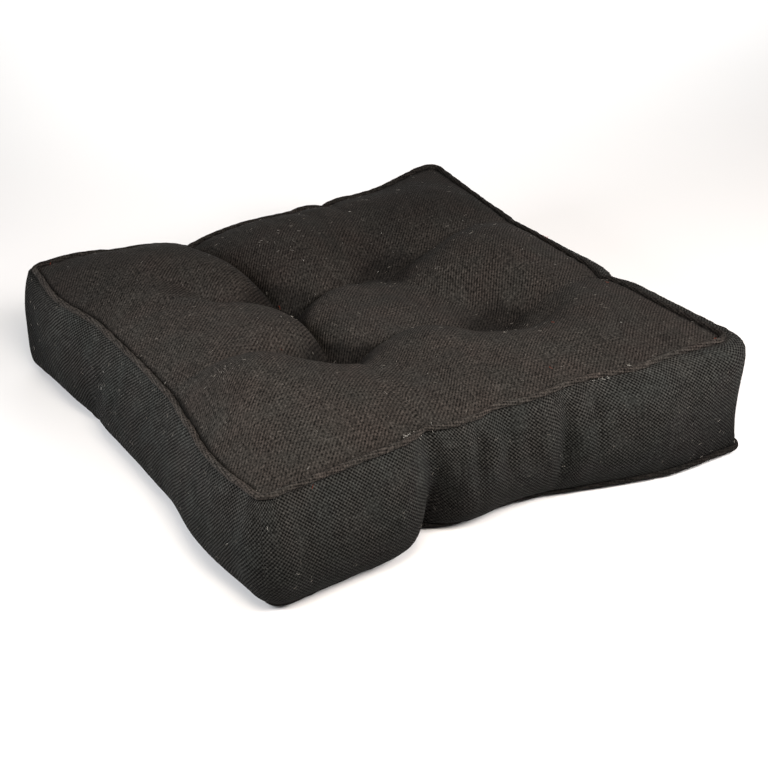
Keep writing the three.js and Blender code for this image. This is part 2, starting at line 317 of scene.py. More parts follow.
# A point of the even panel that the four sides of a seam span, with u and v from -1 to 1.
def patchPoint(seam, u, v):
    s, t = (u + 1) / 2, (v + 1) / 2
    point = seamStation(seam, "front", u)[0] * (1 - t) + seamStation(seam, "back", u)[0] * t
    point += seamStation(seam, "left", v)[0] * (1 - s) + seamStation(seam, "right", v)[0] * s
    point -= Vector(corners[seam]["frontLeft"]) * ((1 - s) * (1 - t))
    point -= Vector(corners[seam]["frontRight"]) * (s * (1 - t))
    point -= Vector(corners[seam]["backLeft"]) * ((1 - s) * t)
    point -= Vector(corners[seam]["backRight"]) * (s * t)
    return point


# Part 2: the panels

def blend(first, middle, last, place):
    return mixed(middle, first if place < 0 else last, eased(abs(place), 0, 2 * third))


# How much of the mounds' height the valleys take at a place, from 0 to 1.
def valleyShare(u, v):
    kept = 1
    roundness = cushion["valleyRoundness"]
    for valley in valleys:
        across, along = (u, v) if valley["runs"] == "back" else (v, u)
        first, between, last = valley["shares"]
        past = abs(along) - third
        if past < 0:
            floor = 1 - (1 - between) * rounded(-past, third, roundness)
        else:
            floor = 1 - (1 - (first if along < 0 else last)) * rounded(past, 1 - third, roundness)
        side = 0 if across < valley["at"] else 1
        reach = blend(*[pair[side] for pair in valley["reach"]], along)
        softness = blend(*valley["softness"], along)
        flank = 1 - rounded(abs(across - valley["at"]), reach, roundness) ** softness
        kept *= 1 - floor * flank
    return 1 - kept


def moundHeight(u, v):
    return blend(*[blend(*row, u) for row in mounds], v)


def fullerRise(u, v):
    rise = 0
    for place in fuller:
        acrossShare = (u * cushion["half"] - place["at"][0]) / place["reach"][0]
        alongShare = (v * cushion["half"] - place["at"][1]) / place["reach"][1]
        rise += place["rise"] * bump(math.hypot(acrossShare, alongShare), 1)
    return rise


@lru_cache(maxsize=None)
def tuftRest(seam, column, row):
    return patchPoint(seam, column * third, row * third)


def tuftDistance(tuft, u, v):
    return math.hypot(u - tuft["column"] * third, v - tuft["row"] * third)


def pullToTuft(point, tuft, rest, u, v):
    pull = bump(tuftDistance(tuft, u, v), cushion["tuftPull"])
    point.x += (tuft["at"][0] - rest.x) * pull
    point.y += (tuft["at"][1] - rest.y) * pull


def crown(u, v, reach):
    roundness = cushion["edgeRoundness"]
    return rounded(1 - abs(u), reach, roundness) * rounded(1 - abs(v), reach, roundness)


def dipAt(u, v):
    return cushion["panelDip"] * ((1 - u * u) * (1 - v * v)) ** 2


def topPoint(u, v):
    point = patchPoint("top", u, v)
    rise = crown(u, v, cushion["edgeReach"])
    point.z += moundHeight(u, v) * rise * (1 - valleyShare(u, v)) + fullerRise(u, v)
    point.z -= dipAt(u, v)
    dip = dipAt(third, third)
    for tuft in tufts:
        rest = tuftRest("top", tuft["column"], tuft["row"])
        pullToTuft(point, tuft, rest, u, v)
        pit = bump(tuftDistance(tuft, u, v), tuft["reach"], tuft["pointed"])
        point.z += (tuft["at"][2] - rest.z + dip) * pit
    return point


def undersidePoint(u, v):
    point = patchPoint("bottom", u, v)
    flat, fullLift = cushion["underFlat"], cushion["underValleyLift"]
    lift = fullLift * max(valleyShare(u, v) - flat, 0) / (1 - flat)
    point.z = mixed(point.z, lift, crown(u, v, cushion["underEdgeReach"]))
    for tuft in tufts:
        pullToTuft(point, tuft, tuftRest("bottom", tuft["column"], tuft["row"]), u, v)
        pit = bump(tuftDistance(tuft, u, v), cushion["underTuftReach"], True)
        point.z += (cushion["underTuft"] - fullLift) * pit
    point.z = max(point.z, 0)
    return point


# Part 3: the boxing strip

def swellAt(sideName, along):
    fromName, toName, _ = sides[sideName]
    parts = []
    for first, last, middle in zip(swell[fromName], swell[toName], swell[sideName]):
        ends = mixed(first, last, (along + 1) / 2)
        parts.append(ends + (middle - (first + last) / 2) * (1 - along ** 2))
    return parts


def creasePlace(crease, height):
    top, middle, bottom = crease["run"]
    return mixed(bottom, top, height) + 4 * (middle - (top + bottom) / 2) * height * (1 - height)


def creaseDepth(rows, place, height):
    depth = 0
    for crease in rows:
        low, high = crease["heights"]
        run = bump(height - (low + high) / 2, (high - low) / 2)
        if run > 0:
            aside = place - creasePlace(crease, height)
            depth += crease["depth"] * run * bump(aside, crease["reach"], crease["pointed"])
    return depth


def boxingPoint(sideName, line, height):
    along = placeOnSide(sideName, line)
    top, out = seamStation("top", sideName, line)
    bottom, _ = seamStation("bottom", sideName, line)
    outward, fullest, pointed = swellAt(sideName, along)
    skewed = height ** (math.log(0.5) / math.log(fullest))
    fullness = max(math.sin(math.pi * skewed), 0) ** pointed
    outward -= creaseDepth(creases[sideName], along * cushion["half"], height)
    return bottom.lerp(top, height) + out * (outward * fullness)


# Part 4: the cover's finer folds, which lie on that shape

fineFolds = {
    "seed": 5,
    "tuftPuckers": 10,
    "puckerSpacing": (0.15, 0.85),  # where one starts in its tenth of the round
    "puckerDepth": (0.7, 2.2),
    "puckerLength": (18, 42),
    "puckerWidth": (0.16, 0.3),     # as a share of the distance from the tuft
    "puckerRoot": 1.2,              # what is added to that width close to the tuft
    "puckerStart": 5,               # how far from the tuft a pucker reaches its depth
    "undersidePuckers": 0.8,
    "lumps": ((70, 1.2), (30, 0.35), (14, 0.14)),           # wavelength and height
    "lumpShift": {"top": 0, "underside": 300, "strip": 600},    # so that no part repeats another
    "seamGather": 0.5,
    "seamGatherPitch": 15,
    "seamGatherReach": 16,
    "gatherShift": {"top": 3, "strip": 9},
    "calmBySeam": 10,               # the width beside a seam where the lumps fade out
    "flatBelow": 1,                 # the underside has no lumps where it rests on the floor
    "calmByFloor": 4,               # and the height over which they come in
    "creaseFade": 0.4,              # how late the creases fade towards the strip's seams
    "pipingWidth": 3,               # the strip under the piping has no gathers
}

fineCreases = {
    "front": [
        {"run": (-84, -78, -80), "depth": 1.4, "reach": 9, "heights": (0.5, 1.1), "pointed": True},
        {"run": (-42, -44, -48), "depth": 2, "reach": 8, "heights": (0.4, 1.1), "pointed": True},
        {"run": (2, -3, -8), "depth": 2.2, "reach": 9, "heights": (0.2, 1), "pointed": True},
        {"run": (76, 71, 66), "depth": 2.4, "reach": 11, "heights": (0.25, 1.1), "pointed": True},
        {"run": (104, 98, 90), "depth": 1.6, "reach": 10, "heights": (0.35, 1.05), "pointed": True},
        {"run": (146, 150, 158), "depth": 1, "reach": 12, "heights": (0.4, 1.1), "pointed": True},
    ],
    "left": [
        {"run": (20, 32, 40), "depth": 1.8, "reach": 11, "heights": (0.2, 1), "pointed": True},
        {"run": (96, 110, 124), "depth": 1.6, "reach": 12, "heights": (0.1, 0.9), "pointed": True},
        {"run": (-30, -18, -6), "depth": 1.2, "reach": 12, "heights": (0.3, 1), "pointed": True},
    ],
    "back": [
        {"run": (-96, -92, -90), "depth": 1.6, "reach": 11, "heights": (0.3, 1.1), "pointed": True},
        {"run": (-44, -46, -42), "depth": 1.6, "reach": 11, "heights": (0.3, 1.1), "pointed": True},
    ],
    "right": [
        {"run": (-40, -48, -50), "depth": 1.6, "reach": 11, "heights": (0.3, 1.1), "pointed": True},
        {"run": (92, 90, 88), "depth": 1.4, "reach": 11, "heights": (0.3, 1.1), "pointed": True},
    ],
}


def tuftPuckers():
    chance = random.Random(fineFolds["seed"])
    made = []
    for tuft in tufts:
        count = fineFolds["tuftPuckers"]
        rows = []
        for number in range(count):
            rows.append({
                "angle": (number + chance.uniform(*fineFolds["puckerSpacing"])) * 2 * math.pi / count,
                "depth": chance.uniform(*fineFolds["puckerDepth"]),
                "length": chance.uniform(*fineFolds["puckerLength"]),
                "width": chance.uniform(*fineFolds["puckerWidth"]),
            })
        made.append((tuft, rows))
    return made


def puckerDepth(puckers, point):
    depth = 0
    for tuft, rows in puckers:
        away = Vector((point.x - tuft["at"][0], point.y - tuft["at"][1]))
        if away.length < fineFolds["puckerLength"][1]:
            angle = math.atan2(away.y, away.x)
            for row in rows:
                turn = (angle - row["angle"] + math.pi) % (2 * math.pi) - math.pi
                start = min(away.length / fineFolds["puckerStart"], 1)
                run = start * bump(away.length, row["length"])
                width = row["width"] + fineFolds["puckerRoot"] / (away.length + 1)
                depth += row["depth"] * run * bump(turn, width, True)
    return depth


# Soft folds across the top, from one place to another. A depth below 0 is a ridge.
panelFolds = [
    {"from": (-37, -192), "to": (-18, -112), "depth": 2.6, "reach": 11},
    {"from": (78, -94), "to": (140, -84), "depth": 2.2, "reach": 12},
    {"from": (-148, 112), "to": (-90, 22), "depth": 5, "reach": 13},
    {"from": (-164, 100), "to": (-106, 10), "depth": -4, "reach": 18},
    {"from": (20, 190), "to": (34, 120), "depth": 2, "reach": 12},
]


def panelFoldDepth(point):
    depth = 0
    for fold in panelFolds:
        start, end = Vector(fold["from"]), Vector(fold["to"])
        run = end - start
        here = point.xy - start
        share = here.dot(run) / run.length_squared
        aside = (here - run * share).length
        depth += fold["depth"] * bump(2 * share - 1, 1) * bump(aside, fold["reach"], True)
    return depth


def lumpHeight(point, part):
    place = point + up * fineFolds["lumpShift"][part]
    height = 0
    for wavelength, size in fineFolds["lumps"]:
        height += size * noise.noise(place / wavelength * 2)
    return height


def seamGather(along, fromSeam, part):
    near = bump(fromSeam, fineFolds["seamGatherReach"])
    place = Vector((along / fineFolds["seamGatherPitch"] * 2, fineFolds["gatherShift"][part], 0))
    return fineFolds["seamGather"] * near * 2 * noise.noise(place)


def topFold(u, v, point, puckers):
    fromSeam = (1 - max(abs(u), abs(v))) * cushion["half"]
    along = (u if abs(v) > abs(u) else v) * cushion["half"]
    calm = min(fromSeam / fineFolds["calmBySeam"], 1)
    depth = puckerDepth(puckers, point) + panelFoldDepth(point)
    return lumpHeight(point, "top") * calm - depth + seamGather(along, fromSeam, "top")


def undersideFold(point, puckers):
    calm = min(max(point.z - fineFolds["flatBelow"], 0) / fineFolds["calmByFloor"], 1)
    depth = puckerDepth(puckers, point) * fineFolds["undersidePuckers"]
    return lumpHeight(point, "underside") * calm - depth


def stripFold(sideName, line, height, point):
    along = placeOnSide(sideName, line) * cushion["half"]
    calm = math.sin(math.pi * height)
    fromTop = (1 - height) * cushion["stripHeight"]
    depth = creaseDepth(fineCreases[sideName], along, height) * calm ** fineFolds["creaseFade"]
    gather = seamGather(along, fromTop, "strip") * (1 - bump(fromTop, fineFolds["pipingWidth"]))
    return lumpHeight(point, "strip") * calm - depth + gather


# Part 5: the cover's mesh. It starts as a block that is stretched over the shape.

# Draws the block's steps together at the valleys and the seams, where the shape turns most.
def gathered(place):
    share = abs(place)
    start, length = (0, third) if share < third else (third, 1 - third)
    step = (share - start) / length
    if share < third:
        drawn = step + cushion["gather"] * math.sin(math.pi * step) / 2
    else:
        drawn = step - cushion["gather"] * math.sin(2 * math.pi * step)
    return math.copysign(start + length * drawn, place)


def regionOf(place):
    if place.z > blockEdge:
        return "top"
    if place.z < -blockEdge:
        return "underside"
    if place.y < -blockEdge:
        return "front"
    if place.y > blockEdge:
        return "back"
    return "left" if place.x < 0 else "right"


# From 0 at the bottom seam to 1 at the top seam, with its steps closer together at both.
def heightOf(place):
    return (1 + math.sin(place.z * math.pi / 2)) / 2


def coverPoint(place):
    u, v = gathered(place.x), gathered(place.y)
    region = regionOf(place)
    if region == "top":
        return topPoint(u, v)
    if region == "underside":
        return undersidePoint(u, v)
    return boxingPoint(region, u if region in ("front", "back") else v, heightOf(place))


def foldAt(place, point, puckers):
    u, v = gathered(place.x), gathered(place.y)
    region = regionOf(place)
    if region == "top":
        return topFold(u, v, point, puckers)
    if region == "underside":
        return undersideFold(point, puckers)
    return stripFold(region, u if region in ("front", "back") else v, heightOf(place), point)


def blockMesh():
    columns, levels = cushion["columns"], cushion["levels"]
    bm = bmesh.new()
    bmesh.ops.create_cube(bm, size=2)
    flat = [edge for edge in bm.edges if edge.verts[0].co.z * edge.verts[1].co.z > 0]
    bmesh.ops.subdivide_edges(bm, edges=flat, cuts=columns - 1, use_grid_fill=True)
    upright = [edge for edge in bm.edges if edge.verts[0].co.z * edge.verts[1].co.z < 0]
    bmesh.ops.subdivide_edges(bm, edges=upright, cuts=levels - 1, use_grid_fill=True)
    return bm


weaveLayout = {
    "stripStart": 500,          # millimetres that keep the strip's pattern apart from the panels'
    "evenness": 0.5,            # of a panel's weave: 0 follows the cloth and 1 lies square from above
}


def gridIndex(value, count):
    return round((value + 1) / 2 * count)


def stripColumn(region, i, j):
    columns = cushion["columns"]
    return {"front": i, "right": columns + j, "back": 3 * columns - i, "left": 4 * columns - j}[region]


def runningLengths(grid, keys):
    lengths = [0]
    for before, here in zip(keys, keys[1:]):
        lengths.append(lengths[-1] + (grid[here] - grid[before]).length)
    return lengths


# Lengths along the cloth of a panel from its middle, both ways.
def measurePanel(grid):
    columns = cushion["columns"]
    steps = range(columns + 1)
    laid = {key: [0, 0] for key in grid}
    for fixed in steps:
        across = runningLengths(grid, [(step, fixed) for step in steps])
        upwards = runningLengths(grid, [(fixed, step) for step in steps])
        for step in steps:
            laid[step, fixed][0] = across[step] - across[columns // 2]
            laid[fixed, step][1] = upwards[step] - upwards[columns // 2]
    return laid


# Lengths up the boxing strip from its bottom seam, and round it.
def measureStrip(grid):
    columns, levels = 4 * cushion["columns"], cushion["levels"]
    around = runningLengths(grid, [(column, levels // 2) for column in range(columns + 1)])
    laid = {}
    for column in range(columns + 1):
        keys = [(column, level) for level in range(levels + 1)]
        for key, height in zip(keys, runningLengths(grid, keys)):
            laid[key] = [height, -around[column] - weaveLayout["stripStart"] * mm]
    return laid


# Lays the weave on the cover, in millimetres along the cloth.
def layWeave(bm, places):
    columns, levels = cushion["columns"], cushion["levels"]
    grids = {"top": {}, "underside": {}, "strip": {}}
    indices = {}
    for vert in bm.verts:
        place = places[vert.index]
        i, j, k = gridIndex(place.x, columns), gridIndex(place.y, columns), gridIndex(place.z, levels)
        indices[vert] = i, j, k
        if k == levels:
            grids["top"][i, j] = vert.co.copy()
        if k == 0:
            grids["underside"][i, j] = vert.co.copy()
        onSides = {"front": j == 0, "right": i == columns, "back": j == columns, "left": i == 0}
        for region, onSide in onSides.items():
            if onSide:
                grids["strip"][stripColumn(region, i, j), k] = vert.co.copy()

    laid = {name: measurePanel(grids[name]) for name in ("top", "underside")}
    laid["strip"] = measureStrip(grids["strip"])
    layer = bm.loops.layers.uv.new("weave")
    for face in bm.faces:
        middle = sum((places[vert.index] for vert in face.verts), Vector()) / len(face.verts)
        region = regionOf(middle)
        for loop in face.loops:
            i, j, k = indices[loop.vert]
            if region in ("top", "underside"):
                square = loop.vert.co
                arcs = zip(laid[region][i, j], (square.x, square.y))
                where = [mixed(arc, straight, weaveLayout["evenness"]) for arc, straight in arcs]
            else:
                where = laid["strip"][stripColumn(region, i, j), k]
            loop[layer].uv = (where[0] / mm, where[1] / mm)


# Painted shade in the groove beside the piping: how dark it is, on the panel and on the strip of each
# side.
grooveShading = {
    "front": (0.45, 0.9),
    "left": (1, 0.4),
    "back": (1, 0.8),
    "right": (1, 0.8),
    "panelReach": 5,
    "stripReach": 3,
    "fullness": 1.5,            # it is at its darkest over the first third of its reach
}

# Painted shade: where the cloth's colour is darkened to stand in for shade, in the hollows of the top,
# towards its back and its right, and low on the boxing strip. A drift has its strength, where it
# starts and where it is full.
paintedShade = {
    "hollowRise": (0.4, 2),     # of the hollows from the seam: reach and roundness
    "pointedTuft": 0.6,
    "softTuft": 0.15,
    "tuftReach": 0.3,
    "hollowSharpness": 6,
    "backDrift": (0.5, 0.2, 0.55),
    "rightDrift": (0.22, 0.25, 0.6),
    "lowSharpness": 1.3,
    "farLeftDrift": (0.6, 0.6, 1),
    "cornerWidth": 0.1,         # over which the weave of the left and right walls comes in
}


def drift(place, strength, start, full):
    return strength * eased(place, start, full)


# Painted shade beside the piping, from 0 far from the seam to its darkness at the seam.
def grooveShadeAt(place):
    region = regionOf(place)
    if region in ("top", "underside"):
        fromSeam = (1 - max(abs(gathered(place.x)), abs(gathered(place.y)))) * cushion["half"]
        if abs(place.y) > abs(place.x):
            side = "front" if place.y < 0 else "back"
        else:
            side = "left" if place.x < 0 else "right"
        depth, reach = grooveShading[side][0], grooveShading["panelReach"]
    else:
        line = gathered(place.x if region in ("front", "back") else place.y)
        ends = [seamStation(seam, region, line)[0] for seam in ("top", "bottom")]
        fromSeam = min((coverPoint(place) - end).length for end in ends)
        depth, reach = grooveShading[region][1], grooveShading["stripReach"]
    return depth * min(max(1 - fromSeam / reach, 0) * grooveShading["fullness"], 1)


# Painted shade on the panels: at the foot of the tufts and of the deepest valleys, and towards the back
# and the right.
def hollowShadeAt(place):
    if abs(place.z) < blockEdge:
        return 0
    u, v = gathered(place.x), gathered(place.y)
    deep = valleyShare(u, v) * rounded(1 - max(abs(u), abs(v)), *paintedShade["hollowRise"])
    for tuft in tufts:
        strength = paintedShade["pointedTuft"] if tuft["pointed"] else paintedShade["softTuft"]
        deep += strength * bump(tuftDistance(tuft, u, v), paintedShade["tuftReach"])
    drifts = drift(v, *paintedShade["backDrift"]) + drift(u, *paintedShade["rightDrift"])
    return min(min(deep, 1) ** paintedShade["hollowSharpness"] + drifts, 1)


# Painted shade on the boxing strip: darker towards its bottom seam and its far left corner.
def lowShadeAt(place):
    low = max(1 - heightOf(place), 0) ** paintedShade["lowSharpness"]
    if regionOf(place) == "left":
        low += drift(gathered(place.y), *paintedShade["farLeftDrift"])
    return min(low, 1)


def panelAt(place):
    return 1 if abs(place.z) > blockEdge else 0


# Where the weave's weaker ribs show more strongly, on the left and right walls: painted light, for the
# light that their relief catches there.
def asideAt(place):
    return 1 - min(max(1 - abs(place.x), 0) / paintedShade["cornerWidth"], 1)


def markVerts(bm, places):
    marks = {"grooveShade": grooveShadeAt, "panel": panelAt, "hollowShade": hollowShadeAt, "low": lowShadeAt, "aside": asideAt}
    for name in marks:
        bm.verts.layers.float.new(name)
    for name, mark in marks.items():
        layer = bm.verts.layers.float[name]
        for vert in bm.verts:
            vert[layer] = mark(places[vert.index])


def sharpenSeams(bm, places):
    for edge in bm.edges:
        ends = [places[vert.index] for vert in edge.verts]
        atPanels = all(abs(end.z) > blockEdge for end in ends) and ends[0].z * ends[1].z > 0
        atWalls = all(max(abs(end.x), abs(end.y)) > blockEdge for end in ends)
        edge.smooth = not (atPanels and atWalls)


def makeCover():
    bm = blockMesh()
    bm.verts.ensure_lookup_table()
    bm.verts.index_update()
    places = [vert.co.copy() for vert in bm.verts]
    sharpenSeams(bm, places)
    for vert in bm.verts:
        vert.co = coverPoint(places[vert.index])
    print("cover stretched over its shape:", len(bm.verts), "points")
    bm.normal_update()
    puckers = tuftPuckers()
    folds = [foldAt(places[vert.index], vert.co, puckers) for vert in bm.verts]
    for vert, fold in zip(bm.verts, folds):
        vert.co += vert.normal * fold
        vert.co.z = max(vert.co.z, 0)
        vert.co = shiftToMiddle(vert.co)
    layWeave(bm, places)
    markVerts(bm, places)
    for face in bm.faces:
        face.smooth = True
    print("folds and weave laid")
    return finished(bm, "cushionCover")


# Part 6: the piping, a cord in cloth cut on the bias

piping = {
    "radius": 2.4,
    "sunk": 1.1,                # into the seam
    "sides": 14,
    "stationsEachSide": 264,
    "lean": {"top": 0.8, "bottom": -1.1},   # radians up from straight out of the seam
    "wander": 0.35,
    "wanderLength": 40,
    "wanderRows": (1, 7),       # of the noise, for its way out and its way up
    "lumps": 0.24,
    "lumpLength": 7,
    "lumpShift": 5,             # so that the two rings don't have the same lumps
    "floorGap": 0.1,
    "backShade": 0.8,           # of the top piping on the back and the right
    "template": 0.1,            # the thickness of the plain ring of radius 1 that it starts as
}


def ringMesh(steps):
    bm = bmesh.new()
    bmesh.ops.create_circle(bm, segments=piping["sides"], radius=piping["template"])
    bmesh.ops.rotate(bm, verts=bm.verts, cent=(0, 0, 0), matrix=Matrix.Rotation(math.pi / 2, 3, "X"))
    bmesh.ops.translate(bm, verts=bm.verts, vec=(1, 0, 0))
    circle = list(bm.verts) + list(bm.edges)
    bmesh.ops.spin(
        bm, geom=circle, cent=(0, 0, 0), axis=(0, 0, 1), angle=2 * math.pi, steps=steps, use_merge=True,
    )
    return bm


def seamStations(seam):
    count = piping["stationsEachSide"]
    stations = []
    for sideName, way in (("front", 1), ("right", 1), ("back", -1), ("left", -1)):
        for step in range(count):
            stations.append(seamStation(seam, sideName, gathered(2 * step / count - 1) * way))
    return stations


def pipingPoint(station, length, around, lean):
    point, out = station
    radius = piping["radius"]
    run = length / piping["wanderLength"]
    shift = lean * piping["lumpShift"]
    stray = Vector([noise.noise(Vector((run, row, lean))) for row in piping["wanderRows"]])
    lump = 1 + piping["lumps"] * noise.noise(Vector((length / piping["lumpLength"], around, shift)))
    reach = radius - piping["sunk"]
    outward = reach * math.cos(lean) + stray.x * piping["wander"] + radius * lump * math.cos(around)
    upward = reach * math.sin(lean) + stray.y * piping["wander"] + radius * lump * math.sin(around)
    point = point + out * outward + up * upward
    point.z = max(point.z, piping["floorGap"])
    return shiftToMiddle(point)


# Lays the cloth's yarns on the ring: millimetres along it and round its cord.
def layPipingWeave(bm, turns, lengths):
    layer = bm.loops.layers.uv.new("weave")
    steps = len(lengths) - 1
    for face in bm.faces:
        numbers = [turns[loop.vert][0] for loop in face.loops]
        wraps = max(numbers) - min(numbers) > steps / 2
        rounds = [turns[loop.vert][1] for loop in face.loops]
        closes = max(rounds) - min(rounds) > math.pi
        for loop, number, around in zip(face.loops, numbers, rounds):
            length = lengths[-1] if wraps and number == 0 else lengths[number]
            angle = around + 2 * math.pi if closes and around < 0 else around
            loop[layer].uv = (length, angle * piping["radius"])


def makePiping(seam, name):
    stations = seamStations(seam)
    steps = len(stations)
    lengths = [0]
    for number in range(steps):
        here, following = stations[number][0], stations[(number + 1) % steps][0]
        lengths.append(lengths[-1] + (following - here).length)
    bm = ringMesh(steps)
    # Painted shade on the piping: all of the bottom ring, and the top ring on the back and the right.
    low = bm.verts.layers.float.new("low")
    turns = {}
    for vert in bm.verts:
        turn = math.atan2(vert.co.y, vert.co.x) / (2 * math.pi) * steps
        around = math.atan2(vert.co.z, math.hypot(vert.co.x, vert.co.y) - 1)
        turns[vert] = round(turn) % steps, around
    for vert, (number, around) in turns.items():
        out = stations[number][1]
        vert[low] = 1 if seam == "bottom" else piping["backShade"] * max(out.x, out.y, 0)
        vert.co = pipingPoint(stations[number], lengths[number], around, piping["lean"][seam])
    layPipingWeave(bm, turns, lengths)
    for face in bm.faces:
        face.smooth = True
    bmesh.ops.recalc_face_normals(bm, faces=bm.faces)
    print(name, "sewn round", round(lengths[-1]), "mm")
    return finished(bm, name)


# Part 7: the lint that clings to the cloth, short curled fibres

lint = {
    "seed": 11,
    "pale": 760,
    "white": 40,
    "red": 10,
    "length": (0.8, 3.2),
    "redLength": 1.5,           # times longer
    "thickness": (0.07, 0.15),
    "taper": 0.7,
    "curl": 0.5,
    "lift": 0.25,
    "tuftHeight": 0.5,
    "wallShare": 0.4,
    "topSlope": 0.25,           # a face that looks up more than this belongs to the top
    "oddWay": (0.31, 0.54, 0.78),    # a way that no face looks exactly, to start a fibre's turn from
    "roughness": 0.9,
    "colors": {
        "paleLint": (0.15, 0.14, 0.125, 1),
        "whiteLint": (0.36, 0.35, 0.32, 1),
        "redLint": (0.21, 0.04, 0.018, 1),
    },
}

# Where lint has gathered: a place, its spread and the number and length of its fibres.
lintTufts = [
    {"at": (-72, -189, 98), "spread": (11, 3, 2.5), "count": 13, "length": (3, 8), "kind": "white"},
    {"at": (104, -192, 95), "spread": (36, 3, 2), "count": 18, "length": (1.5, 4), "kind": "white"},
    {"at": (-161, -80, 116), "spread": (14, 10, 2), "count": 14, "length": (1.2, 3), "kind": "pale"},
    {"at": (-20, 110, 112), "spread": (30, 16, 3), "count": 14, "length": (1.2, 3), "kind": "pale"},
    {"at": (195, 30, 98), "spread": (6, 8, 2), "count": 3, "length": (3, 6), "kind": "red"},
    {"at": (188, -190, 96), "spread": (4, 2, 2), "count": 2, "length": (2.5, 4), "kind": "red"},
]


# Adds one fibre: a thin cone, bowed to one side, with one end lifted off the cloth.
def addFibre(bm, chance, place, normal, length, thickness):
    start = len(bm.verts)
    bmesh.ops.create_cone(
        bm, cap_ends=True, segments=3, radius1=thickness, radius2=thickness * lint["taper"], depth=length,
    )
    bm.verts.ensure_lookup_table()
    touching = {edge for vert in bm.verts[start:] for edge in vert.link_edges}
    longEdges = [edge for edge in touching if edge.calc_length() > length / 2]
    bmesh.ops.subdivide_edges(bm, edges=longEdges, cuts=2)
    bm.verts.ensure_lookup_table()
    curl = chance.uniform(-lint["curl"], lint["curl"]) * length
    twist = chance.uniform(0, 2 * math.pi)
    lift = chance.uniform(0, lint["lift"]) * length
    side = normal.cross(Vector(lint["oddWay"])).normalized()
    along = side * math.cos(twist) + normal.cross(side) * math.sin(twist)
    across = normal.cross(along)
    for vert in bm.verts[start:]:
        share = vert.co.z / length
        bow = curl * (0.25 - share * share) + vert.co.x
        rise = thickness + lift * (share + 0.5) ** 2 + vert.co.y
        vert.co = place + (along * vert.co.z + across * bow + normal * rise) * mm


def scatterLint(bm, chance, kind, tops, walls):
    for _ in range(lint[kind]):
        face = chance.choice(walls if chance.random() < lint["wallShare"] else tops)
        length = chance.uniform(*lint["length"]) * (lint["redLength"] if kind == "red" else 1)
        addFibre(bm, chance, face.center, face.normal, length, chance.uniform(*lint["thickness"]))


def addLintTuft(bm, chance, tuft, surface):
    for _ in range(tuft["count"]):
        away = Vector([chance.gauss(0, part / 2) for part in tuft["spread"]])
        wanted = shiftToMiddle(Vector(tuft["at"]) + away)
        _, place, normal, _ = surface.closest_point_on_mesh(wanted)
        place = place + normal * lint["tuftHeight"] * mm
        addFibre(bm, chance, place, normal, chance.uniform(*tuft["length"]), lint["thickness"][1])


def makeLint(surface):
    chance = random.Random(lint["seed"])
    faces = surface.data.polygons
    tops = [face for face in faces if face.normal.z > lint["topSlope"]]
    walls = [face for face in faces if abs(face.normal.z) <= lint["topSlope"]]
    pieces = []
    for kind in ("pale", "white", "red"):
        bm = bmesh.new()
        scatterLint(bm, chance, kind, tops, walls)
        for tuft in lintTufts:
            if tuft["kind"] == kind:
                addLintTuft(bm, chance, tuft, surface)
        bmesh.ops.recalc_face_normals(bm, faces=bm.faces)
        print("lint,", kind, len(bm.faces), "faces")
        pieces.append(finished(bm, kind + "Lint"))
    return pieces


# Part 8: the finishes

class Wire:
    def __init__(self, shader, socket):
        self.shader = shader
        self.socket = socket

    def maths(self, operation, *sockets):
        return self.shader.node("ShaderNodeMath", {"operation": operation}, sockets)

    def output(self, name):
        return Wire(self.shader, self.socket.node.outputs[name])

    def __add__(self, other):
        return self.maths("ADD", self, other)

    __radd__ = __add__

    def __sub__(self, other):
        return self.maths("SUBTRACT", self, other)

    def __rsub__(self, other):
        return self.maths("SUBTRACT", other, self)

    def __mul__(self, other):
        return self.maths("MULTIPLY", self, other)

    __rmul__ = __mul__

    def __truediv__(self, other):
        return self.maths("DIVIDE", self, other)

    def __gt__(self, other):
        return self.maths("GREATER_THAN", self, other)

    def cosine(self):
        return self.maths("COSINE", self)

    def atMost(self, other):
        return self.maths("MINIMUM", self, other)

    def atLeast(self, other):
        return self.maths("MAXIMUM", self, other)

    # For a noise round 0.5: more contrast round a new middle, kept between two ends.
    def spread(self, contrast, middle, low=0, high=1):
        return ((self - 0.5) * contrast + middle).atLeast(low).atMost(high)


class Shader:
    def __init__(self, name):
        self.material = bpy.data.materials.new(name)
        self.material.use_nodes = True
        self.tree = self.material.node_tree
        self.tree.nodes.clear()

    def node(self, kind, settings, sockets, output=0):
        made = self.tree.nodes.new(kind)
        for name, value in settings.items():
            setattr(made, name, value)
        pairs = sockets.items() if isinstance(sockets, dict) else enumerate(sockets)
        for place, value in pairs:
            if isinstance(value, Wire):
                self.tree.links.new(value.socket, made.inputs[place])
            else:
                made.inputs[place].default_value = value
        return Wire(self, made.outputs[output]) if made.outputs else made

    # A colour mix has its factor at socket 0, its colours at 6 and 7, and its result at 2.
    def mix(self, factor, first, second, blend="MIX"):
        sockets = {0: factor, 6: first, 7: second}
        return self.node("ShaderNodeMix", {"data_type": "RGBA", "blend_type": blend}, sockets, 2)

    def noise(self, vector, scale, detail=2, roughness=0.5):
        sockets = {"Vector": vector, "Scale": scale, "Detail": detail, "Roughness": roughness}
        return self.node("ShaderNodeTexNoise", {}, sockets)

    # An attribute's number comes out at 2.
    def attribute(self, name):
        return self.node("ShaderNodeAttribute", {"attribute_name": name}, {}, 2)

    def finish(self, sockets):
        surface = self.node("ShaderNodeBsdfPrincipled", {}, sockets)
        self.node("ShaderNodeOutputMaterial", {}, {"Surface": surface})
        return self.material


